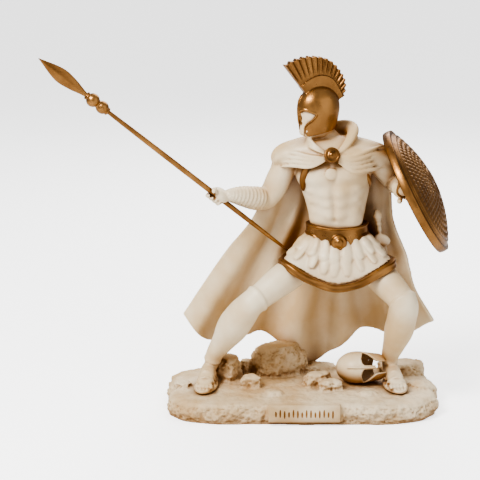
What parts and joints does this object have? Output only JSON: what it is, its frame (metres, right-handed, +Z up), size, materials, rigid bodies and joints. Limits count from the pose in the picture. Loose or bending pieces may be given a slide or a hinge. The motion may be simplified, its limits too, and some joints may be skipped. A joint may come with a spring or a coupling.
{
  "type": "ancient warrior statuette",
  "caption": "Cast ivory statuette of an ancient warrior lunging with a spear, a round shield and a long cape, on a rocky base.",
  "frame": {"origin": "centre of the base's flat underside", "axes": "+Z up, +X to the viewer's right as the front is seen, +Y away from the viewer"},
  "size_m": [0.2886, 0.1056, 0.267],
  "materials": {
    "ivory_cast": "satin cast marble resin with a warm brown wash in the recesses",
    "ivory_rock": "rough cast marble resin with a warm wash",
    "gilt": "antique gilt, satin"
  },
  "bodies": {
    "root": {"rocky_base": "ivory_rock", "warrior_figure": "ivory_cast", "round_shield": "gilt", "spear": "gilt"}
  },
  "joints": []
}
